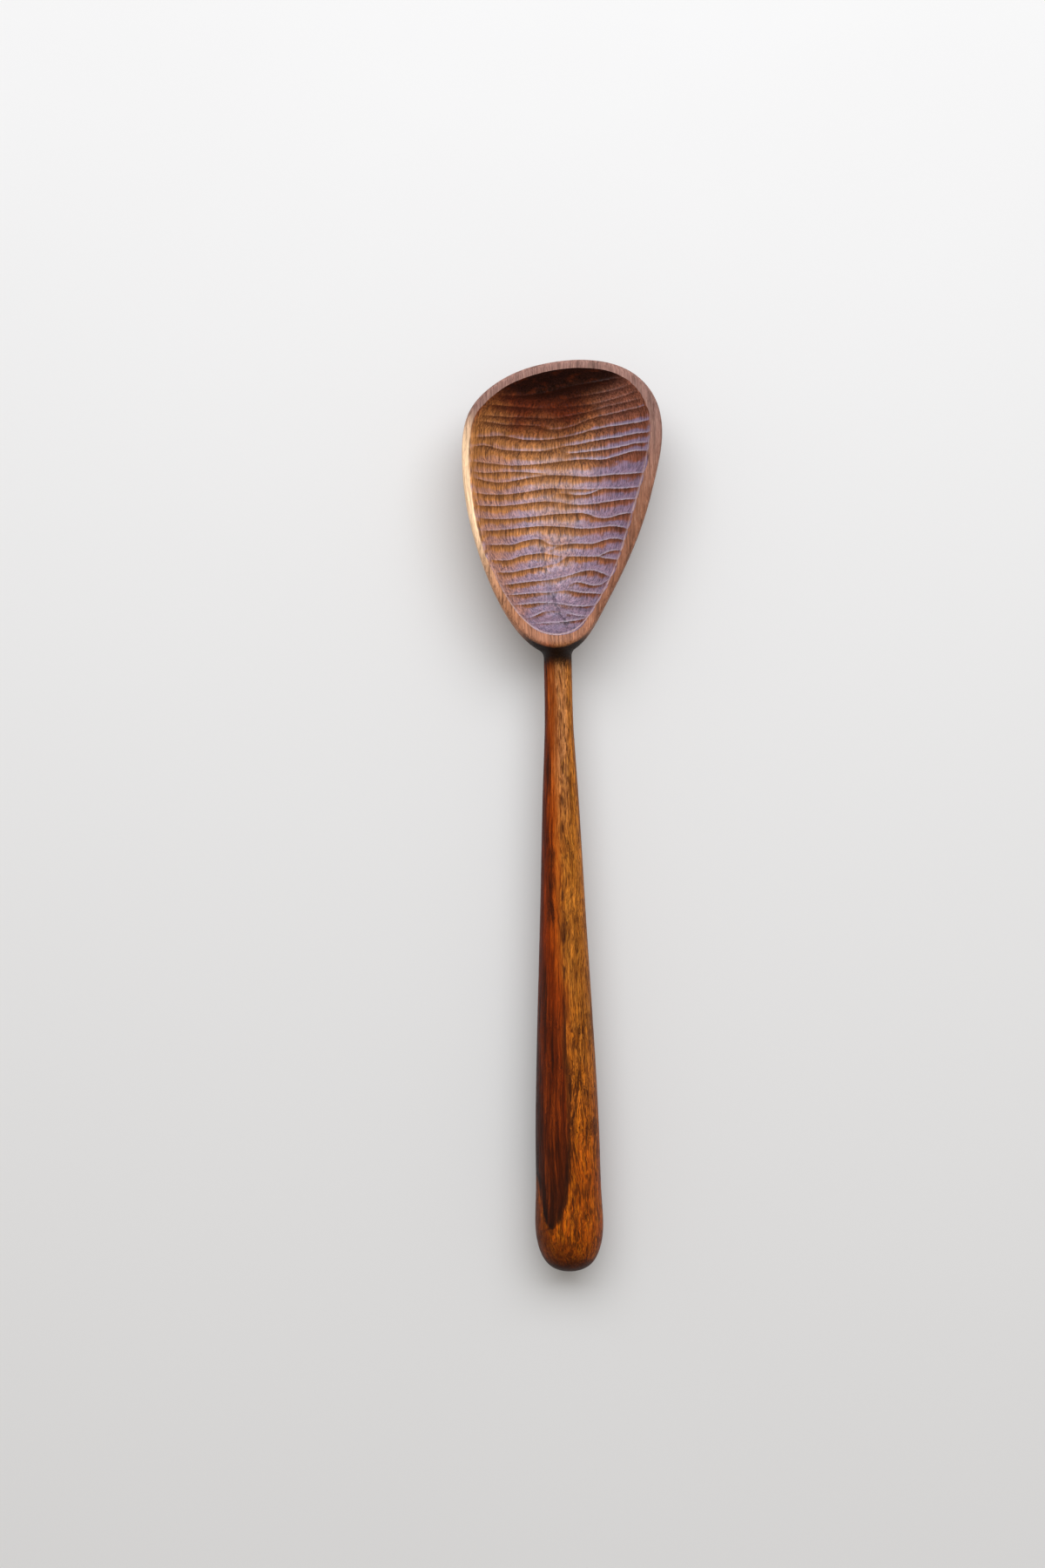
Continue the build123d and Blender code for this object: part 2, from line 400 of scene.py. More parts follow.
def blank_body(node, hollow):
    """The spoon with its hollow still full, in small even faces laid on the model's true curve."""
    source = node.data
    normals = [Vector((0, 0, 0)) for vertex in source.vertices]
    for loop in source.loops:
        normals[loop.vertex_index] += loop.normal
    spots = []
    for vertex in source.vertices:
        normal = normals[vertex.index].normalized()
        spot = vertex.co.copy()
        if normal.z > upward_facing and hollow.share(spot.x, spot.y) < inside_share:
            spot.z = hollow.rim
            normal = Vector((0, 0, 1))
        normals[vertex.index] = normal
        spots.append(spot)
    faces = [list(face.vertices) for face in source.polygons]
    full = mesh_object("full_spoon", spots, faces)
    cells = full.modifiers.new("cells", "REMESH")
    cells.mode = "VOXEL"
    cells.voxel_size = blank_cell
    mesh = evaluated_mesh(full)
    tree = BVHTree.FromPolygons(spots, faces)
    lowest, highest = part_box("spoon")
    for vertex in mesh.vertices:
        spot, _, face, _ = tree.find_nearest(vertex.co)
        spot = rounded_spot(spot, [spots[n] for n in faces[face]], [normals[n] for n in faces[face]])
        vertex.co = [min(max(at, least), most) for at, least, most in zip(spot, lowest, highest)]
    bpy.data.objects.remove(full)
    blank = bpy.data.objects.new("carved_spoon", mesh)
    bpy.context.scene.collection.objects.link(blank)
    return blank


def mark_strokes(mesh, hollow):
    """Notes on the mesh where the painted shade under each ridge and the painted highlight on its crest
    are.
    """
    spots = np.empty(len(mesh.vertices) * 3, dtype=np.float32)
    mesh.vertices.foreach_get("co", spots)
    x, y, z = spots.reshape(-1, 3).T.astype(float)
    in_hollow = (hollow.share(x, y) < 1) & (z > hollow.rim - hollow.depth - floor_slack)
    shade_line, crest_line, lean = strokes(hollow, x, y)[1:]
    turn = np.arctan2(y - hollow_centre.y, x - hollow_centre.x)
    from_edge = (1 - hollow.share(x, y)) * np.interp(turn, hollow.turns, hollow.reaches)
    lit_edge = step_between(np.cos(turn - lit_edge_middle), *lit_edge_cosines)
    edge_line = np.clip(1 - from_edge / edge_line_reach, 0, 1) * lit_edge
    notes = {
        "ridge_shade": shade_line,
        "ridge_crest": crest_line,
        "stroke_lean": lean,
        "rim_edge": edge_line,
    }
    for name, amount in notes.items():
        noted = mesh.attributes.new(name, "FLOAT", "POINT")
        noted.data.foreach_set("value", np.where(in_hollow, amount, 0).astype(np.float32))


def carve(node):
    """The whole spoon as one carved piece."""
    hollow = Hollow(node)
    carved = blank_body(node, hollow)
    cutter = gouge_cut(hollow)
    cut = carved.modifiers.new("cut", "BOOLEAN")
    cut.operation = "DIFFERENCE"
    cut.solver = "MANIFOLD"
    cut.object = cutter
    mesh = evaluated_mesh(carved)
    carved.modifiers.remove(cut)
    carved.data = mesh
    bpy.data.objects.remove(cutter)
    for face in mesh.polygons:
        face.use_smooth = True
    mesh.set_sharp_from_angle(angle=sharpest_smooth_edge)
    mark_strokes(mesh, hollow)
    return carved


class Reading:
    """A number read at each place of a finish. Sums on readings add their own nodes."""

    def __init__(self, finish, socket):
        self.finish = finish
        self.socket = socket

    def sum_with(self, operation, first, second):
        return self.finish.node("ShaderNodeMath", {"operation": operation}, {0: first, 1: second})

    def __add__(self, other):
        return self.sum_with("ADD", self, other)

    def __radd__(self, other):
        return self.sum_with("ADD", other, self)

    def __sub__(self, other):
        return self.sum_with("SUBTRACT", self, other)

    def __rsub__(self, other):
        return self.sum_with("SUBTRACT", other, self)

    def __mul__(self, other):
        return self.sum_with("MULTIPLY", self, other)

    def __rmul__(self, other):
        return self.sum_with("MULTIPLY", other, self)

    def __truediv__(self, other):
        return self.sum_with("DIVIDE", self, other)


class Finish:
    """The nodes of one material or of the room, every one made by the same method."""

    def __init__(self, owner, shader="Principled BSDF"):
        owner.use_nodes = True
        self.owner = owner
        self.tree = owner.node_tree
        self.shader = self.tree.nodes[shader]

    def node(self, kind, settings, sockets, out=0):
        """Adds a node, sets it up, then gives its sockets their values or links."""
        made = self.tree.nodes.new(kind)
        for setting, value in settings.items():
            if setting == "curve":
                self.bend(made.mapping, value)
            else:
                setattr(made, setting, value)
        for socket, value in sockets.items():
            self.feed(made.inputs[socket], value)
        return Reading(self, made.outputs[out])

    def feed(self, socket, value):
        """Gives a socket a link or a value."""
        if isinstance(value, Reading):
            self.tree.links.new(value.socket, socket)
        else:
            socket.default_value = value

    def bend(self, mapping, points):
        """Lays a curve node's line through the points."""
        line = mapping.curves[0]
        while len(line.points) < len(points):
            line.points.new(0.5, 0.5)
        for point, place in zip(line.points, points):
            point.location = place
        mapping.update()

    def parts(self, vector):
        """The three numbers of a vector."""
        return [self.node("ShaderNodeSeparateXYZ", {}, {0: vector}, out) for out in range(3)]

    def join(self, x, y, z):
        """A vector from three numbers."""
        return self.node("ShaderNodeCombineXYZ", {}, {0: x, 1: y, 2: z})

    def vector(self, operation, first, second, out=0):
        """A sum on two vectors."""
        return self.node("ShaderNodeVectorMath", {"operation": operation}, {0: first, 1: second}, out)

    def between(self, value, low, high):
        """From 0 at low to 1 at high, with a smooth start and end."""
        settings = {"interpolation_type": "SMOOTHSTEP"}
        sockets = {"Value": value, "From Min": low, "From Max": high}
        return self.node("ShaderNodeMapRange", settings, sockets)

    def cloud(self, place, across, along, detail, harshness=0.5):
        """Soft noise around one half, with so many waves a unit of length across and along."""
        stretched = self.vector("MULTIPLY", place, (across, along, across))
        sockets = {"Vector": stretched, "Scale": 1, "Detail": detail, "Roughness": harshness}
        return self.node("ShaderNodeTexNoise", {}, sockets)

    def marks(self, place, waves, detail, levels, harshness=0.5):
        """Marks that start where soft noise is over its lower level and are full at its upper one."""
        return self.between(self.cloud(place, *waves, detail, harshness), *levels)

    def line(self, along, stretch, points, span):
        """A number within a span that follows a curve drawn through points along a stretch."""
        low, high = stretch
        least, most = span
        share = (along - low) / (high - low)
        places = [((at - low) / (high - low), (value - least) / (most - least)) for at, value in points]
        drawn = self.node("ShaderNodeFloatCurve", {"curve": places}, {"Value": share})
        return drawn * (most - least) + least

    def band(self, value, rise, fall):
        """1 within a band that starts over one stretch and ends over another."""
        return self.between(value, *rise) * (1 - self.between(value, *fall))

    def patch(self, x, y, middle, reach):
        """A soft oval: 1 in its middle, 0 beyond its reach."""
        out_x = (x - middle[0]) / reach[0]
        out_y = (y - middle[1]) / reach[1]
        return 1 - self.between(out_x * out_x + out_y * out_y, 0, 1)

    def mix(self, mask, under, over):
        """One colour over another where the mask is 1."""
        settings = {"data_type": "RGBA", "blend_type": "MIX"}
        return self.node("ShaderNodeMix", settings, {0: mask, 6: under, 7: over}, 2)

    def paint(self, colour, *coats):
        """Lays coats on a colour one after the other: each is a mask and a tone."""
        for mask, over in coats:
            colour = self.mix(mask, colour, over)
        return colour

    def shade(self, colour, amount):
        """A colour or a vector made larger or smaller."""
        return self.node("ShaderNodeVectorMath", {"operation": "SCALE"}, {0: colour, 3: amount})


def tone(red, green, blue):
    """A colour from its 0 to 255 values."""
    shares = [value / 255 for value in (red, green, blue)]
    linear = [share / 12.92 if share < 0.04045 else ((share + 0.055) / 1.055) ** 2.4 for share in shares]
    return tuple(linear + [1])


# Golden wood on the handle's right
gold = tone(188, 112, 36)
gold_by_neck = tone(190, 124, 72)
gold_by_butt = tone(176, 80, 8)
gold_mottle = tone(104, 45, 8)
gold_glow = tone(214, 116, 16)
gold_mark = tone(66, 27, 5)
gold_glint = tone(224, 150, 46)
gold_line = tone(100, 44, 6)
gold_pore = tone(70, 31, 7)
gold_dash = tone(56, 24, 6)
gold_fleck = tone(74, 30, 8)
amber = tone(154, 72, 14)

# Heartwood on the handle's left
heart_border = tone(156, 66, 8)
heart_middle = tone(118, 40, 2)
heart_low = tone(98, 33, 4)
heart_by_butt = tone(66, 25, 7)
heart_bright = tone(158, 66, 14)
heart_dark = tone(40, 17, 8)
heart_mark = tone(34, 15, 8)
heart_left = tone(46, 19, 10)
heart_tip = tone(42, 17, 8)
heart_line = tone(56, 20, 4)
heart_pore = tone(44, 16, 4)

# What lies over both on the handle
smudge_tone = tone(50, 20, 6)
border_line = tone(46, 20, 8)
tongue_outline = tone(26, 13, 8)
streak_tone = tone(54, 25, 13)
corner_tone = tone(92, 38, 10)
end_grain_and_shade_tone = tone(46, 19, 8)
# Under the heel: darker end grain with painted shade
heel_shade_and_end_grain = tone(16, 9, 7)

# Hollow
scoop_left = tone(194, 126, 68)
scoop_right = tone(156, 92, 68)
scoop_low = tone(140, 72, 42)
scoop_high = tone(118, 46, 14)
# Painted shade on the steep wall at the tip, with lighter red-brown patches as painted highlights
end_shade_dark = tone(44, 22, 13)
end_shade_highlight = tone(98, 42, 18)
lit_wall = tone(206, 136, 70)
scoop_nick = tone(72, 34, 22)
scoop_dash = tone(66, 30, 20)
scoop_comb = tone(70, 32, 18)
# Painted sheen: lilac reflection painted on stroke sides that face the light
sheen = tone(134, 130, 164)
sheen_low = tone(130, 130, 160)
sheen_dash = tone(74, 44, 44)
ridge_shadow = tone(60, 24, 8)
seam_tone = tone(46, 34, 50)
# Painted highlight on each ridge's crest
painted_crest_highlight = tone(226, 214, 220)
# Painted highlight along the hollow's crisp edge
painted_edge_highlight = tone(228, 194, 182)

# Rim's flat land and the bowl's outside
rim_middle = tone(160, 106, 78)
rim_far = tone(146, 109, 98)
rim_low_right = tone(146, 96, 72)
rim_low_left = tone(196, 134, 96)
rim_heel = tone(178, 122, 94)
# Lighter wood on the rim's left, brightened with a painted highlight
sapwood_and_highlight = tone(255, 212, 168)
belly_tone = tone(112, 58, 30)
rim_glint = tone(224, 184, 156)
rim_line = tone(104, 62, 46)
rim_nick = tone(84, 48, 40)

# Stretches over which one tone passes into another, in millimetres.
# Along the handle
handle_low = (-78, -50)
gold_neck = (-15, 25)
gold_butt = (-125, -60)
amber_start = (-95, -70)
heart_butt = (-135, -85)
heart_end = (-139, -125)
heart_left_end = (-95, -75)
streak_start = (-80, -70)
streak_end = (-8, 0)
tongue_start = (-118, -98)
tongue_end = (-140, -137)
corner_start = (-126, -112)
under_tongue = (-142.5, -139)
butt_shade = (-146, -134)
end_grain_and_shade_start = (-150, -143.5)

# Across the handle
gold_neck_across = (-1.5, 1.5)
heart_left_across = (-14, -6.5)
under_tongue_across = (-6, 4)

# Into the heartwood from its edge, and in from the tongue's left edge
amber_depth = (-2.8, -0.4)
heart_start = (-1.3, 1.5)
heart_full = (0.2, 3.4)
border_rise, border_fall = (-1.1, -0.2), (0.2, 1.2)
right_outline_rise, right_outline_fall = (-0.4, 0.4), (0.9, 2.4)
left_outline_rise, left_outline_fall = (0, 0.6), (0.9, 2.6)
inside_tongue = (-0.6, 0.6)
corner_across = (-1.5, 0)

# Along the bowl
heel_rise, heel_fall = (48.5, 54.5), (58, 64)
bowl_start = (56, 60)
rim_heel_end = (58, 72)
low_hollow = (62, 92)
seam_start, seam_faint, seam_end = (62, 65), (76, 84), (102, 110)
pale_left_start, pale_left_end = (76, 98), (124, 138)
spine_start = (82, 95)
low_rim_right, low_rim_left = (90, 110), (90, 112)
sheen_rise, sheen_fall = (96, 110), (126, 138)
upper_left_start = (96, 108)
rim_far_start = (96, 138)
high_hollow = (125, 138)
crest_end = (130, 139)
far_end_start = (137, 143.2)
end_middle = -6
end_bend = 0.008

# Across the bowl
pale_left_across = (-30, -18)
low_rim_left_across, low_rim_right_across = (-20, -6), (-2, 6)
right_side_across = (0, 20)
high_hollow_across = (4, 18)
spine_middle = -2
rim_middle_place = (0, 108, 0)

# Heights
belly_rise = (6, 24)
rim_start = (23.2, 23.9)
heel_top = (23.4, 24.6)

# Polish and relief
relief_strength = 0.5
relief_height = 0.12 * mm
wood_specular = 0.07
coat_roughness = 0.40
coat_ior = 1.8


class Walnut(Finish):
    """Oiled walnut, in millimetres of the spoon's own frame. All its colours share one figure."""

    def __init__(self):
        super().__init__(bpy.data.materials.new("oiled_walnut"))
        self.place = self.shade(self.node("ShaderNodeTexCoord", {}, {}, "Object"), 1 / mm)
        self.facing = self.node("ShaderNodeTexCoord", {}, {}, "Normal")
        self.x, self.y, self.z = self.parts(self.place)
        self.face_x, self.face_y, self.face_z = self.parts(self.facing)
        self.draw_grain()
        self.draw_marks()
        self.draw_zones()

    def draw_grain(self):
        """Fibres that wander a little, and curl more in the golden side of the handle."""
        self.wander = self.cloud(self.place, 0.05, 0.022, 2) - 0.5
        self.curl = self.cloud(self.place, 0.30, 0.14, 2) - 0.5
        across = self.x + self.wander * 6 + self.curl * 0.7
        curling = self.line(self.y + self.x * 0.4, curl_stretch, curly_stretches, (0, 1))
        knots = self.cloud(self.place, 0.5, 0.42, 1) - 0.5
        curly_across = across + (knots * 3.4 + self.curl * 1.6) * curling
        self.grain = self.join(across, self.y, self.z)
        self.curly = self.join(curly_across, self.y + self.curl * curling * 3, self.z)

    def draw_marks(self):
        """The figure's marks, from wide soft bands to pores, as waves a millimetre across and along."""
        place, grain, curly = self.place, self.grain, self.curly
        self.bands = self.cloud(grain, 0.34, 0.012, 2) - 0.5
        self.streaks = self.cloud(grain, 0.9, 0.035, 3, 0.6) - 0.5
        self.fibres = self.cloud(grain, 2.4, 0.09, 3, 0.6) - 0.5
        self.blotch = self.cloud(place, 0.09, 0.05, 2) - 0.5
        self.thick = self.cloud(place, 0.26, 0.42, 2) - 0.5
        self.patchy = self.marks(place, (0.16, 0.10), 2, (0.36, 0.64))
        self.combs = self.marks(grain, (2.9, 0.20), 3, (0.30, 0.70), 0.6) - 0.5
        self.teeth = self.marks(grain, (1.8, 0.15), 3, (0.34, 0.66), 0.6) - 0.5
        self.dashes = self.marks(grain, (2.9, 0.22), 2, (0.55, 0.64))
        self.glints = self.marks(grain, (4.3, 0.30), 2, (0.56, 0.70))
        self.nicks = self.marks(grain, (2.3, 0.42), 2, (0.57, 0.66))
        self.comb_lines = self.marks(grain, (3.2, 0.40), 2, (0.52, 0.60))
        self.flecks = self.marks(curly, (1.7, 0.34), 2, (0.56, 0.66), 0.6)
        self.lines = self.marks(curly, (4.0, 0.10), 3, (0.48, 0.56), 0.66)
        self.pores = self.marks(curly, (5.0, 0.28), 2, (0.53, 0.61))
        self.long_marks = self.marks(curly, (1.3, 0.14), 2, (0.54, 0.60))
        self.glow = self.marks(curly, (0.8, 0.12), 2, (0.50, 0.62))
        self.mottle = self.marks(curly, (0.5, 0.15), 3, (0.46, 0.62), 0.6)

    def draw_zones(self):
        """Where the hollow's colour changes: to its right, at its upper left, low down, and at its end,
        where shade is painted.
        """
        x, y = self.x, self.y
        wobble = self.blotch * 14
        self.right_side = self.between(x + wobble, *right_side_across)
        at_left = 1 - self.between(x + wobble, *high_hollow_across)
        self.upper = self.between(y + wobble, *high_hollow) * at_left
        self.lower = 1 - self.between(y + wobble, *low_hollow)
        from_end = x - end_middle
        end_line = y + wobble * 0.3 + self.fibres * 3 - from_end * from_end * end_bend
        self.shaded_end = self.between(end_line, *far_end_start)

    def note(self, name):
        """A number that the carving left on the mesh."""
        return self.node("ShaderNodeAttribute", {"attribute_name": name}, {}, 2)

    def golden_wood(self, low, in_heart, within):
        """The handle's golden side, more orange and coarser towards the butt."""
        streaks, fibres, lines = self.streaks, self.fibres, self.lines
        by_neck = (1 - self.between(self.x, *gold_neck_across)) * self.between(self.y, *gold_neck)
        by_butt = 1 - self.between(self.y, *gold_butt)
        golden = self.mix(by_neck, gold, gold_by_neck)
        golden = self.mix(by_butt, golden, gold_by_butt)
        golden = self.shade(golden, 1.06 + self.bands * 0.9 + streaks * 2.6 + fibres * 1.0)
        golden = self.paint(
            golden,
            (self.mottle * (0.35 + low * 0.3), gold_mottle),
            (self.glow * (0.15 + low * 0.3), gold_glow),
            (self.long_marks * (0.35 + low * 0.35), gold_mark),
            (self.glints * (0.45 - low * 0.25), gold_glint),
            (lines * (0.50 - low * 0.18), gold_line),
            (self.pores * 0.62, gold_pore),
            (self.dashes * 0.75, gold_dash),
            (self.flecks * (0.3 + low * 0.4) * self.patchy, gold_fleck),
        )
        in_amber = self.between(in_heart, *amber_depth) * self.between(self.y, *amber_start)
        amber_wood = self.shade(amber[:3], 1 + streaks * 2.6 + fibres * 1.2)
        return self.mix(in_amber * (0.75 - lines * 0.4) * within, golden, amber_wood)

    def heart_wood(self, low, in_heart):
        """The dark heartwood down the handle's left, darkest near the butt."""
        x, y, streaks = self.x, self.y, self.streaks
        deep_in = self.between(in_heart, *heart_full)
        by_butt = 1 - self.between(y, *heart_butt)
        at_tip = 1 - self.between(y + streaks * 10, *heart_end)
        left_side = 1 - self.between(x + streaks * 14, *heart_left_across)
        left_side = left_side * (1 - self.between(y, *heart_left_end))
        heart = self.mix(deep_in, heart_border, heart_middle)
        heart = self.paint(heart, (low, heart_low), (by_butt, heart_by_butt))
        figure = self.bands * (1.8 - low) + streaks * (3.4 - low * 1.2) + self.fibres * 1.2
        return self.paint(
            self.shade(heart, 1.04 + figure),
            (self.between(streaks, 0.02, 0.14) * low * 0.45, heart_bright),
            (self.between(streaks, -0.02, -0.14) * low * 0.6, heart_dark),
            (self.long_marks * low * 0.4, heart_mark),
            (left_side * 0.6, heart_left),
            (at_tip, heart_tip),
            (self.lines * 0.42, heart_line),
            (self.pores * 0.35, heart_pore),
        )

    def dark_streak(self, low):
        """Fine dark streak along the upper half of the handle, broken here and there."""
        off_streak = self.x + 3.0 + self.wander * 2 + self.fibres * 1.2
        streak = 1 - self.between(off_streak * off_streak, 0.03, 0.26)
        broken = self.marks(self.join(0, self.y, 0), (0, 0.13), 2, (0.44, 0.58))
        upper_half = self.band(self.y, streak_start, streak_end)
        return streak * upper_half * (broken + (1 - broken) * low)

    def butt_corner(self, from_tongue):
        """The browner wood to the left of the tongue and under it."""
        beside = 1 - self.between(from_tongue, *corner_across)
        beside = beside * (1 - self.between(self.y, *corner_start))
        under = 1 - self.between(self.x + self.curl * 8, *under_tongue_across)
        under = under * (1 - self.between(self.y + self.curl * 6, *under_tongue))
        return beside + under - beside * under

    def handle(self):
        """Handle: heartwood at its left with a tongue near the butt, golden wood, a dark end of end grain
        and painted shade, and painted shade on its sides.
        """
        x, y, streaks, fibres = self.x, self.y, self.streaks, self.fibres
        low = 1 - self.between(y, *handle_low)
        edge = self.line(y, edge_stretch, heartwood_edge, edge_span)
        in_heart = edge + 0.7 - low * 0.7 - x - self.wander * 2 - streaks * 5 - fibres * 2
        from_tongue = x - self.line(y, edge_stretch, tongue_left_edge, edge_span)
        within = self.between(from_tongue + fibres * 2, *inside_tongue)
        golden = self.golden_wood(low, in_heart, within)
        heart = self.heart_wood(low, in_heart)
        handle = self.mix(self.between(in_heart, *heart_start) * within, golden, heart)
        for middle, reach in handle_smudges:
            smudge = self.patch(x + streaks * 3, y + fibres * 3, middle, reach)
            handle = self.mix(smudge * (0.5 + self.lines * 0.4), handle, smudge_tone)

        # Thin dark line beside the heartwood, and round the dark tongue near the butt
        beside = self.band(in_heart, border_rise, border_fall) * low
        right_line = self.band(in_heart, right_outline_rise, right_outline_fall)
        left_line = self.band(from_tongue, left_outline_rise, left_outline_fall)
        by_tip = (1 - self.between(y, *tongue_start)) * within * self.between(y, *tongue_end)
        outline = (right_line + left_line) * by_tip
        handle = self.paint(
            handle,
            (beside * 0.6, border_line),
            (outline * (0.35 + self.patchy * 0.4), tongue_outline),
            (self.dark_streak(low) * 0.7, streak_tone),
            (self.butt_corner(from_tongue) * 0.6, corner_tone),
        )
        handle = self.shade(handle, 0.86 + 0.14 * self.between(y, *butt_shade))
        # The butt's dark end: darker end grain, with painted shade where it curves away
        end_grain_and_shade = 1 - self.between(y + self.patchy * 1.5, *end_grain_and_shade_start)
        handle = self.mix(end_grain_and_shade * 0.88, handle, end_grain_and_shade_tone)
        # Painted shade: the handle is darker on its sides, the more so the more they turn from the top
        lit_facing_up = self.between(self.face_z + self.face_x * 0.12, 0.02, 0.74)
        return self.shade(handle, 0.6 + 0.4 * lit_facing_up)

    def seam(self):
        """Fine dark seam down the hollow's lower half."""
        y = self.y
        off_seam = self.x - self.line(y, seam_stretch, seam_course, seam_span) + self.fibres * 3
        seam = 1 - self.between(off_seam * off_seam, 0.02, 0.5)
        seam = seam * (1 - 0.5 * self.between(y, *seam_faint)) * self.between(y, *seam_start)
        return seam * (1 - self.between(y, *seam_end)) * (0.3 + self.patchy * 0.7)

    def scoop(self):
        """Hollow: golden at the left and middle, red-brown to the right, with painted shade towards the
        tip.
        """
        x, y, teeth, streaks, patchy = self.x, self.y, self.teeth, self.streaks, self.patchy
        right_side, upper, lower = self.right_side, self.upper, self.lower
        end_shade = self.mix(self.between(self.thick, 0, 0.16) * 0.7, end_shade_dark, end_shade_highlight)
        # Painted light: the left wall, which faces right, is lighter and warmer
        left_wall = self.between(self.face_x, 0.35, 0.75) * (1 - self.shaded_end)
        off_spine = x - spine_middle
        spine = (1 - self.between(off_spine * off_spine, 6, 60)) * self.between(y, *spine_start)
        scoop = self.paint(
            self.mix(right_side, scoop_left, scoop_right),
            (lower, scoop_low),
            (upper, scoop_high),
            (self.shaded_end, end_shade),
            (left_wall * 0.55, lit_wall),
        )
        figure = self.bands * 1.2 + teeth * 0.75 + self.combs * 0.35 + streaks * 1.4
        scoop = self.shade(self.shade(scoop, 1.0 + figure), 1 - spine * 0.18)
        scoop = self.paint(
            scoop,
            (self.nicks * (0.25 + patchy * 0.25), scoop_nick),
            (self.dashes * (0.15 + patchy * 0.3), scoop_dash),
            (self.comb_lines * 0.34, scoop_comb),
        )

        # Painted sheen: a lilac reflection painted on the sides of the strokes that lean to the light
        arcs = self.cloud(self.place, 0.12, 0.5, 2) - 0.5
        tilt = self.face_y * 0.45 + self.note("stroke_lean") * 0.12 + teeth * 0.05 + streaks * 0.1
        tilt = tilt + self.thick * 0.45 + arcs * lower * 0.45
        tilt = tilt + right_side * self.band(y, sheen_rise, sheen_fall) * 0.07
        upper_left = (1 - right_side) * self.between(y + x * 0.3, *upper_left_start)
        painted_sheen = self.between(tilt, -0.04, 0.18) * (1 - left_wall * 0.5) * (1 - self.shaded_end)
        painted_sheen = painted_sheen * (1 - spine * 0.5) * (1 - upper_left * 0.3)
        painted_sheen_figure = teeth * 0.5 + streaks * 1.2 + self.thick * lower * 0.9
        painted_sheen_tone = self.shade(self.mix(lower, sheen, sheen_low), 1 + painted_sheen_figure)

        # Painted shade under each ridge and a painted highlight on its crest
        ridge_crest = self.note("ridge_crest")
        top = self.between(y, *crest_end)
        crest = ridge_crest * ridge_crest * (0.22 + right_side * 0.4 + lower * 0.36)
        crest = crest * (1 - upper * 0.7) * (1 - top * 0.8) * (1 - upper_left * 0.6)
        scoop = self.paint(
            scoop,
            (painted_sheen * (0.64 - lower * 0.08), painted_sheen_tone),
            (self.dashes * (0.2 + patchy * 0.3), sheen_dash),
            (self.note("ridge_shade") * (0.62 + lower * 0.16), ridge_shadow),
            (self.seam() * 0.8, seam_tone),
            (crest, painted_crest_highlight),
            (self.note("rim_edge") * 0.7, painted_edge_highlight),
        )
        return self.shade(scoop, 0.96)

    def rim(self):
        """Rim's flat land and the bowl's outside: pale at the left, partly lighter wood and partly a
        painted highlight; mauve at the tip and right.
        """
        x, y = self.x, self.y
        pale_stretch = 1 - self.between(y, *pale_left_end)
        pale_stretch = pale_stretch * (0.25 + 0.75 * self.between(y, *pale_left_start))
        left_rim = (1 - self.between(x, *pale_left_across)) * pale_stretch
        low_right = self.between(x, *low_rim_right_across) * (1 - self.between(y, *low_rim_right))
        low_left = 1 - self.between(x, *low_rim_left_across)
        low_left = low_left * (1 - self.between(y, *low_rim_left))
        rim = self.paint(
            self.mix(self.between(y, *rim_far_start), rim_middle, rim_far),
            (low_right, rim_low_right),
            (low_left, rim_low_left),
            (1 - self.between(y, *rim_heel_end), rim_heel),
            (left_rim, sapwood_and_highlight),
            (1 - self.between(self.z, *belly_rise), belly_tone),
        )
        figure = self.bands * 1.4 + self.fibres * 2 + self.streaks * 1.2
        return self.paint(
            self.shade(rim, 1 + figure),
            (self.glints * 0.2, rim_glint),
            (self.lines * (0.25 - left_rim * 0.15), rim_line),
            (self.nicks * (0.4 - left_rim * 0.2), rim_nick),
        )

    def in_hollow(self):
        """1 on the carved hollow, 0 on the rim's land and the outside."""
        to_middle = self.vector("SUBTRACT", rim_middle_place, self.place)
        level = self.vector("MULTIPLY", to_middle, (1, 1, 0))
        inward = self.vector("NORMALIZE", level, (0, 0, 0))
        inwardness = self.vector("DOT_PRODUCT", self.facing, inward, 1)
        at_rim = self.between(self.z, *rim_start)
        facing_in = self.between(inwardness, 0.04, 0.45)
        facing_up = self.between(self.face_z, 0.2, 0.35)
        return at_rim * facing_in + (1 - at_rim) * facing_up

    def finished(self):
        """The whole material: colour, polish and the fibres' relief."""
        y = self.y
        hollow = self.in_hollow()
        in_bowl = self.between(y, *bowl_start)
        bowl = self.mix(hollow, self.rim(), self.scoop())
        colour = self.mix(in_bowl, self.handle(), bowl)

        # Darker end grain under the heel, where the neck flares out, with painted shade over it
        heel = self.band(y, heel_rise, heel_fall) * (1 - self.between(self.z, *heel_top))
        colour = self.mix(heel * 0.95, colour, heel_shade_and_end_grain)

        # Oil's dull coat on the hollow, thinner at its ends
        coat = hollow * in_bowl * (1 - heel) * (0.4 + self.teeth * 0.3 - self.lower * 0.1)
        coat = coat * (1 - self.upper * 0.6) * (1 - self.shaded_end)
        relief = self.fibres * 0.8 - self.dashes * 0.3 - self.pores * 0.2
        bump_sockets = {"Strength": relief_strength, "Distance": relief_height, "Height": relief}
        bump = self.node("ShaderNodeBump", {}, bump_sockets)
        self.feed(self.shader.inputs["Base Color"], colour)
        self.feed(self.shader.inputs["Roughness"], 0.42 + self.dashes * 0.2 + self.combs * 0.1)
        self.feed(self.shader.inputs["Coat Weight"], coat)
        self.feed(self.shader.inputs["Normal"], bump)
        self.shader.inputs["Specular IOR Level"].default_value = wood_specular
        self.shader.inputs["Coat Roughness"].default_value = coat_roughness
        self.shader.inputs["Coat IOR"].default_value = coat_ior
        return self.owner


spoon = carve(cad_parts["spoon"])
spoon.data.materials.clear()
spoon.data.materials.append(Walnut().finished())
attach(spoon, "root")
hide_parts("spoon")

# Table, in metres
table_reach = 3
table_colour = (0.74, 0.715, 0.685, 1)
polish_waves = 9


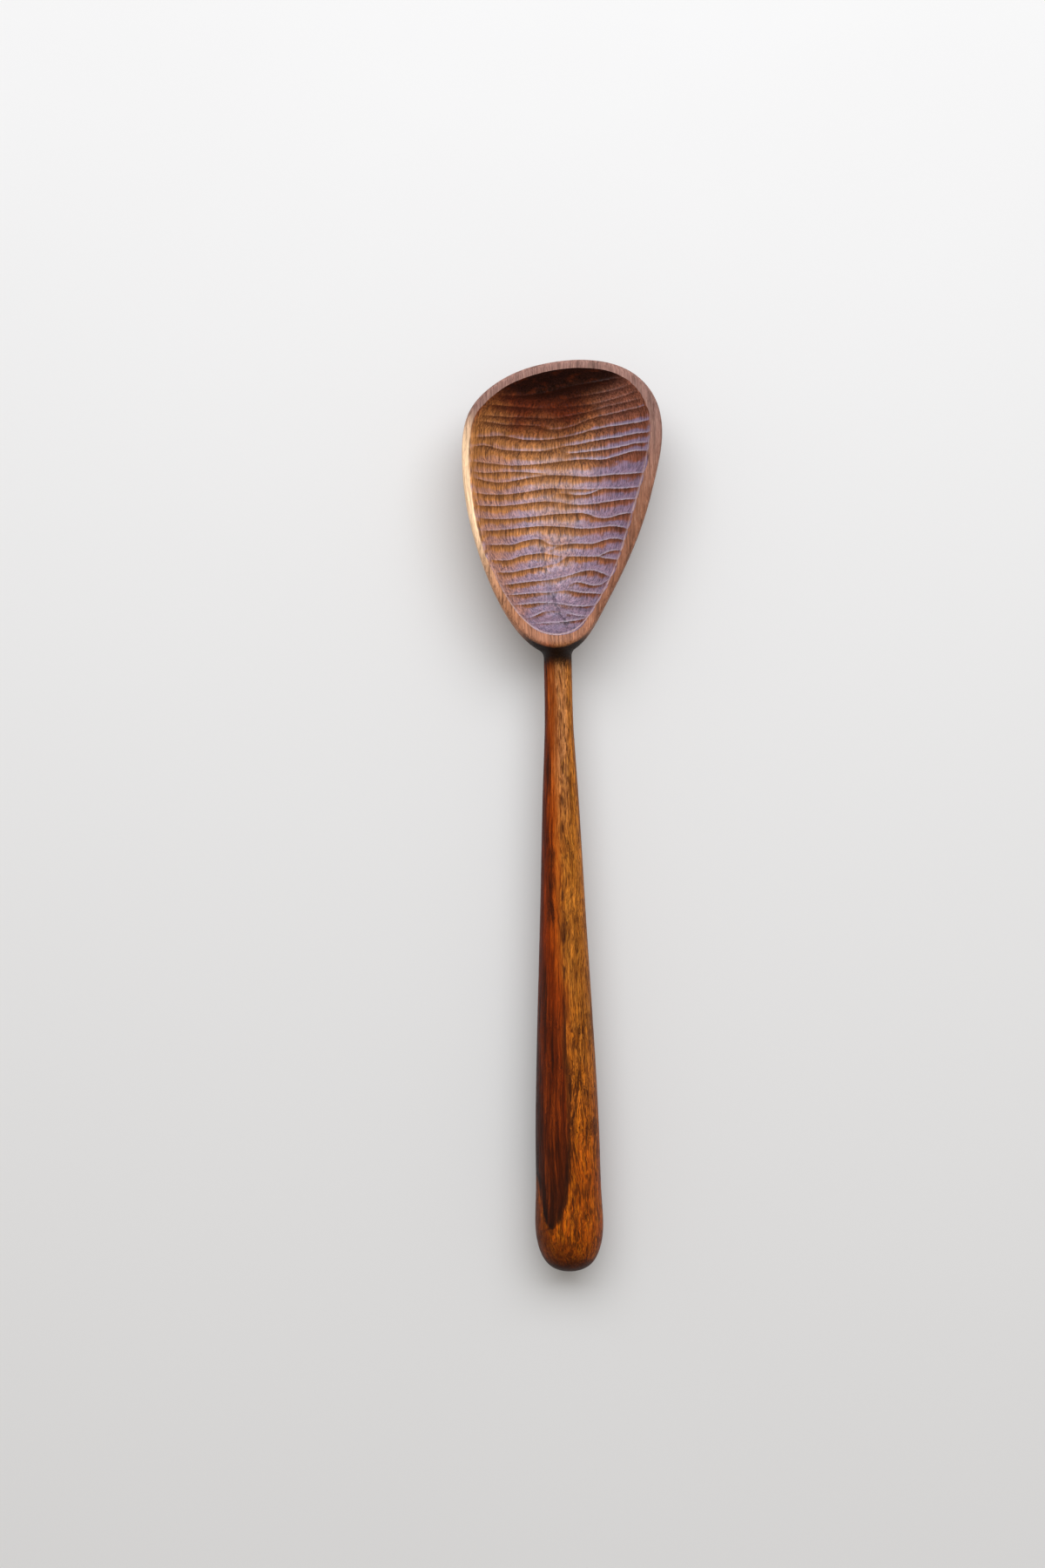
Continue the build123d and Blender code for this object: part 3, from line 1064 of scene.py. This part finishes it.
def pale_table():
    """A plain pale top, a little uneven in its polish."""
    top = Finish(bpy.data.materials.new("pale_table"))
    place = top.node("ShaderNodeTexCoord", {}, {}, "Object")
    cloudy = top.cloud(place, polish_waves, polish_waves, 3)
    top.shader.inputs["Base Color"].default_value = table_colour
    top.feed(top.shader.inputs["Roughness"], 0.5 + cloudy * 0.2)
    return top.owner


table_corners = [(x * table_reach, y * table_reach, 0) for x, y in ((-1, -1), (1, -1), (1, 1), (-1, 1))]
table = mesh_object("table", table_corners, [(0, 1, 2, 3)])
table.data.materials.append(pale_table())

# Light: one wide softbox beyond the spoon's tip, in metres and watts
light_place = (0.06, 0.72, 1.0)
light_target = (0, 0.05, 0)
light_size = (1.8, 0.75)
light_power = 17
light_tint = (0.88, 0.93, 1.0)

lamp = bpy.data.lights.new("window", "AREA")
lamp.shape = "RECTANGLE"
lamp.size, lamp.size_y = light_size
lamp.energy = light_power
lamp.color = light_tint
window = bpy.data.objects.new("window", lamp)
window.location = light_place
light_way = Vector(light_target) - Vector(light_place)
window.rotation_euler = light_way.to_track_quat("-Z", "Y").to_euler()
bpy.context.scene.collection.objects.link(window)

# Room: brightest on the far side, darkest behind
near_tint = (1.0, 0.92, 0.84, 1)
far_tint = (0.94, 0.97, 1.0, 1)
near_strength = 0.28
added_far_strength = 0.42
room_fade = (-0.7, 0.7)

room = Finish(bpy.data.worlds.new("room"), "Background")
way_y = room.parts(room.node("ShaderNodeTexCoord", {}, {}))[1]
far_side = room.between(way_y, *room_fade)
room.feed(room.shader.inputs["Color"], room.mix(far_side, near_tint, far_tint))
room.feed(room.shader.inputs["Strength"], near_strength + far_side * added_far_strength)
bpy.context.scene.world = room.owner

# Camera: straight above, as the photograph was taken
camera_place = (-0.01550, 0.01185, 0.730)
camera_turn = math.radians(-1.18)
half_view = 0.36814
sensor = 36.0

lens = bpy.data.cameras.new("camera")
lens.sensor_fit = "VERTICAL"
lens.sensor_height = sensor
lens.lens = sensor / 2 / half_view
camera = bpy.data.objects.new("camera", lens)
camera.location = camera_place
camera.rotation_euler = (0, 0, camera_turn)
bpy.context.scene.collection.objects.link(camera)
bpy.context.scene.camera = camera
bpy.context.scene.view_settings.view_transform = "Standard"
